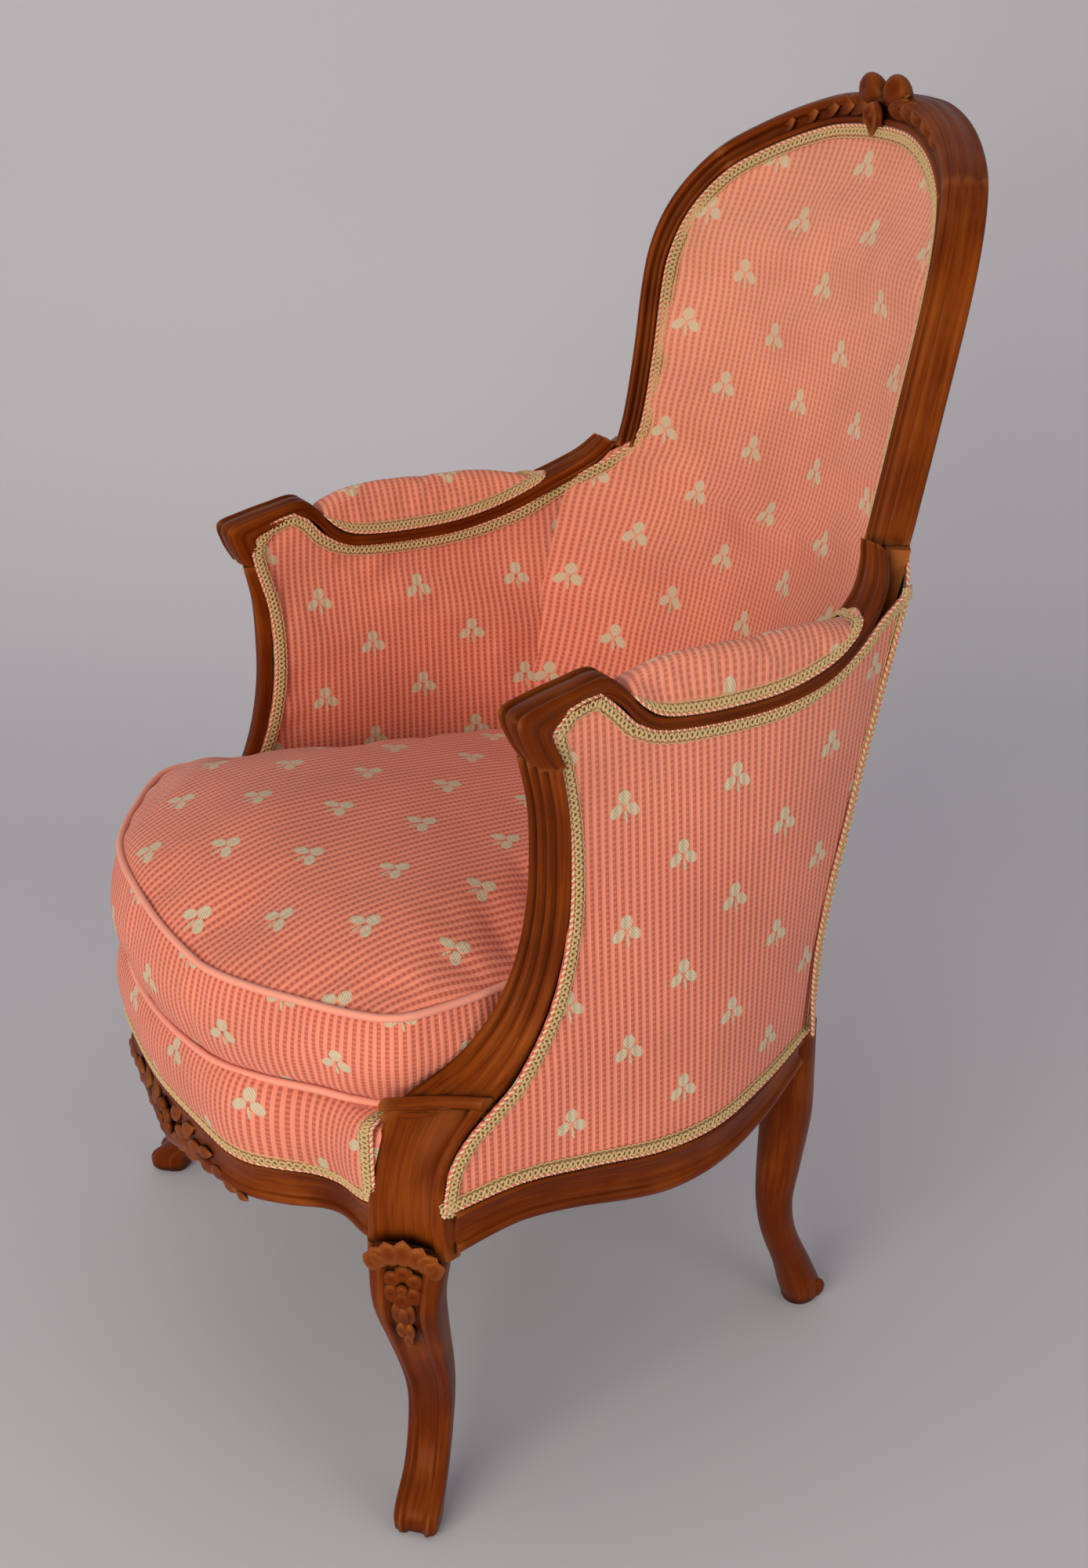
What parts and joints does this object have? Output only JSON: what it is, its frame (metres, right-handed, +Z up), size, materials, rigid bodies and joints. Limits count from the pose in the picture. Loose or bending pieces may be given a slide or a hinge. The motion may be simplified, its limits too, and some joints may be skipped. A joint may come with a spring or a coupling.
{
  "type": "bergere armchair",
  "caption": "Upholstered bergere armchair with a carved cabriole-leg frame, barrel back, padded arms and a loose box seat cushion.",
  "frame": {"origin": "under the middle of the chair's box, at floor level", "axes": "+X is to the right as seen by someone who looks at the front, +Z is up, and the chair faces -Y; a mirror plane lies at x = 0"},
  "size_m": [0.5998, 0.7191, 1.0172],
  "materials": {
    "show_wood": "polished",
    "inner_wood": "raw",
    "cover_fabric": "woven",
    "piping_fabric": "woven",
    "gimp_braid": "woven",
    "stuffing": "loose fibre",
    "cushion_filling": "down and feather in ticking",
    "jute": "coarse woven"
  },
  "bodies": {
    "frame": {"front_leg_right": "show_wood", "front_leg_left": "show_wood", "arm_stump_right": "show_wood", "arm_stump_left": "show_wood", "arm_right": "show_wood", "arm_left": "show_wood", "rear_post_right": "show_wood", "rear_post_left": "show_wood", "back_stile_right": "show_wood", "back_stile_left": "show_wood", "side_rail_right": "show_wood", "side_rail_left": "show_wood", "outside_arm_cover_right": "cover_fabric", "outside_arm_cover_left": "cover_fabric", "gimp_outside_arm_right": "gimp_braid", "gimp_outside_arm_left": "gimp_braid", "inside_arm_cover_right": "cover_fabric", "inside_arm_cover_left": "cover_fabric", "arm_stuffing_right": "stuffing", "arm_stuffing_left": "stuffing", "arm_hessian_right": "jute", "arm_hessian_left": "jute", "gimp_inside_arm_right": "gimp_braid", "gimp_inside_arm_left": "gimp_braid", "arm_pad_stuffing_right": "stuffing", "arm_pad_stuffing_left": "stuffing", "arm_pad_cover_right": "cover_fabric", "arm_pad_cover_left": "cover_fabric", "gimp_arm_pad_right": "gimp_braid", "gimp_arm_pad_left": "gimp_braid", "crest_rail": "show_wood", "front_rail": "show_wood", "rear_rail": "inner_wood", "back_lower_rail": "inner_wood", "corner_blocks": "inner_wood", "back_stuffing": "stuffing", "inside_back_cover": "cover_fabric", "back_hessian": "jute", "back_webbing": "jute", "gimp_inside_back": "gimp_braid", "outside_back_cover": "cover_fabric", "gimp_outside_back": "gimp_braid", "seat_webbing": "jute", "seat_hessian": "jute", "seat_stuffing": "stuffing", "seat_cover": "cover_fabric", "dust_cover": "jute", "gimp_seat_front": "gimp_braid"},
    "cushion": {"cushion_filling": "cushion_filling", "cushion_cover": "cover_fabric", "cushion_piping_bottom": "piping_fabric", "cushion_piping_top": "piping_fabric"}
  },
  "joints": [
    {"name": "cushion_lift", "type": "slide", "parent": "frame", "child": "cushion", "axis": [0, 0, 1], "range_m": [0, 0.35]}
  ]
}
